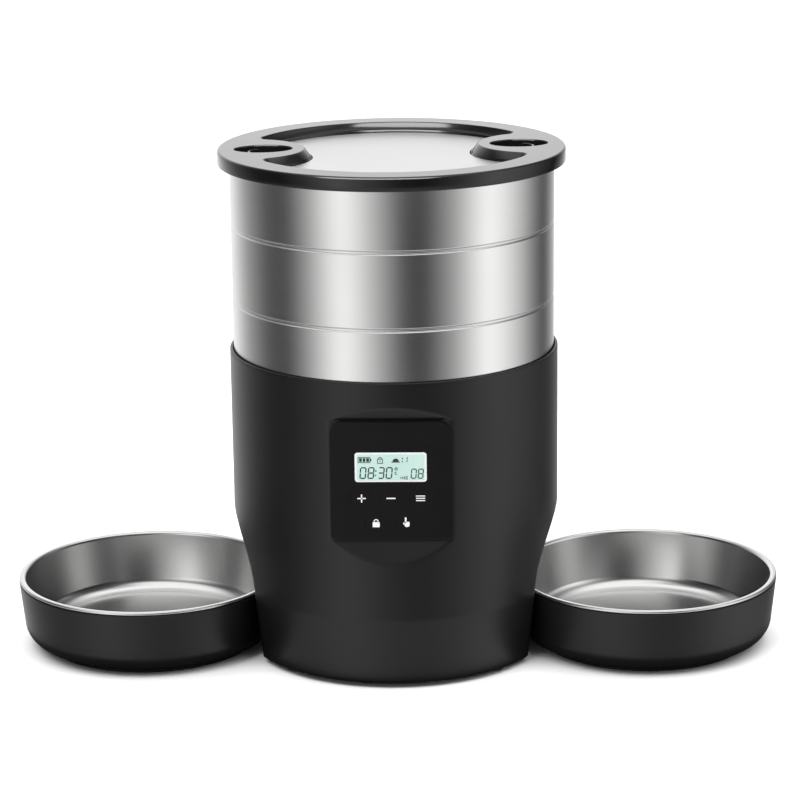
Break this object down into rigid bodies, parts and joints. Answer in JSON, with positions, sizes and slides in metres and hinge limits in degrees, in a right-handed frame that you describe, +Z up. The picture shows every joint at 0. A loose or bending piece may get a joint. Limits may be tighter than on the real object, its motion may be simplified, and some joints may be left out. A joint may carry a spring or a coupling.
{
  "type": "automatic pet feeder",
  "caption": "Upright round food dispenser with a steel hopper drum, lidded top, front control panel and a steel bowl on a docking tray at each side.",
  "frame": {"origin": "on the floor, midway between the bowls and under the middle of the hopper drum", "axes": "+Z up, +X from the left bowl to the right bowl, -Y the way that the control panel faces"},
  "size_m": [0.4758, 0.2102, 0.3136],
  "materials": {
    "black_plastic": "satin, finely textured",
    "gloss_black": "high gloss",
    "inner_plastic": "matt moulded",
    "white_plastic": "matt moulded",
    "steel": "brushed around",
    "silver_disc": "spun satin",
    "plated_steel": "plain plated",
    "brass": "plain",
    "rubber": "matt",
    "silicone": "translucent matt",
    "board_green": "solder mask",
    "display": "tinted clear",
    "cell_wrap": "printed sleeve"
  },
  "bodies": {
    "base": {"base_plate": "black_plastic", "base_screw_1": "plated_steel", "base_screw_2": "plated_steel", "base_screw_3": "plated_steel", "base_screw_4": "plated_steel", "battery_box": "inner_plastic", "battery_cell_1": "cell_wrap", "battery_cell_2": "cell_wrap", "battery_cell_3": "cell_wrap", "battery_contact_front": "brass", "battery_contact_rear": "brass", "control_board": "board_green", "dispenser_housing": "inner_plastic", "display_module": "display", "display_window": "display", "foot_front_left": "rubber", "foot_front_right": "rubber", "foot_rear_left": "rubber", "foot_rear_right": "rubber", "gear_case": "inner_plastic", "hopper_funnel": "black_plastic", "housing": "black_plastic", "key_mat": "silicone", "motor": "plated_steel", "panel_plate": "gloss_black", "portion_switch": "gloss_black", "power_socket": "gloss_black", "shaft_bush_front": "brass", "shaft_bush_rear": "brass", "splitter_chute": "inner_plastic"},
    "battery_door": {"battery_door": "black_plastic"},
    "rotor_group": {"rotor": "silicone", "rotor_shaft": "plated_steel", "drive_gear": "white_plastic", "portion_cam": "white_plastic"},
    "pinion": {"motor_pinion": "brass"},
    "drum": {"drum": "steel"},
    "lid": {"lid_top": "black_plastic", "lid_disc": "silver_disc", "lid_seal": "silicone", "lid_liner": "white_plastic", "desiccant_holder": "white_plastic", "latch_spring_left": "plated_steel", "latch_spring_right": "plated_steel"},
    "desiccant_cap": {"desiccant_cap": "white_plastic"},
    "latch_left": {"latch_left": "black_plastic"},
    "latch_right": {"latch_right": "black_plastic"},
    "tray_left": {"tray_left": "black_plastic"},
    "tray_right": {"tray_right": "black_plastic"},
    "bowl_left": {"bowl_left": "steel"},
    "bowl_right": {"bowl_right": "steel"},
    "key_plus": {"key_plus": "gloss_black"},
    "key_minus": {"key_minus": "gloss_black"},
    "key_menu": {"key_menu": "gloss_black"},
    "key_lock": {"key_lock": "gloss_black"},
    "key_feed": {"key_feed": "gloss_black"}
  },
  "joints": [
    {"name": "drum_lift", "type": "slide", "parent": "base", "child": "drum", "axis": [0, 0, 1], "range_m": [0, 0.05]},
    {"name": "lid_lift", "type": "slide", "parent": "drum", "child": "lid", "axis": [0, 0, 1], "range_m": [0, 0.06]},
    {"name": "latch_left_squeeze", "type": "slide", "parent": "lid", "child": "latch_left", "axis": [0.996, 0.0889, 0], "range_m": [0, 0.005], "stiffness_N_per_m": 250, "deforming": ["latch_spring_left"]},
    {"name": "latch_right_squeeze", "type": "slide", "parent": "lid", "child": "latch_right", "axis": [-0.996, -0.0889, 0], "range_m": [0, 0.005], "stiffness_N_per_m": 250, "deforming": ["latch_spring_right"]},
    {"name": "desiccant_cap_twist", "type": "hinge", "parent": "lid", "child": "desiccant_cap", "pos_m": [0, 0, 0.2873], "axis": [0, 0, 1], "range_deg": [0, 30]},
    {"name": "tray_left_undock", "type": "slide", "parent": "base", "child": "tray_left", "axis": [-1, 0, 0], "range_m": [0, 0.08]},
    {"name": "tray_right_undock", "type": "slide", "parent": "base", "child": "tray_right", "axis": [1, 0, 0], "range_m": [0, 0.08]},
    {"name": "bowl_left_lift", "type": "slide", "parent": "tray_left", "child": "bowl_left", "axis": [0, 0, 1], "range_m": [0, 0.007]},
    {"name": "bowl_right_lift", "type": "slide", "parent": "tray_right", "child": "bowl_right", "axis": [0, 0, 1], "range_m": [0, 0.007]},
    {"name": "rotor_spin", "type": "hinge", "parent": "base", "child": "rotor_group", "pos_m": [0, 0, 0.122], "axis": [0, 1, 0], "continuous": true},
    {"name": "pinion_spin", "type": "hinge", "parent": "base", "child": "pinion", "pos_m": [0, 0, 0.09785], "axis": [0, 1, 0], "continuous": true},
    {"name": "battery_door_slide", "type": "slide", "parent": "base", "child": "battery_door", "axis": [0, 1, 0], "range_m": [0, 0.015]},
    {"name": "key_plus_press", "type": "slide", "parent": "base", "child": "key_plus", "axis": [0, 1, 0], "range_m": [0, 0.0008], "stiffness_N_per_m": 400},
    {"name": "key_minus_press", "type": "slide", "parent": "base", "child": "key_minus", "axis": [0, 1, 0], "range_m": [0, 0.0008], "stiffness_N_per_m": 400},
    {"name": "key_menu_press", "type": "slide", "parent": "base", "child": "key_menu", "axis": [0, 1, 0], "range_m": [0, 0.0008], "stiffness_N_per_m": 400},
    {"name": "key_lock_press", "type": "slide", "parent": "base", "child": "key_lock", "axis": [0, 1, 0], "range_m": [0, 0.0008], "stiffness_N_per_m": 400},
    {"name": "key_feed_press", "type": "slide", "parent": "base", "child": "key_feed", "axis": [0, 1, 0], "range_m": [0, 0.0008], "stiffness_N_per_m": 400}
  ],
  "couplings": [
    {"joint": "pinion_spin", "follows": "rotor_spin", "ratio": -3}
  ]
}
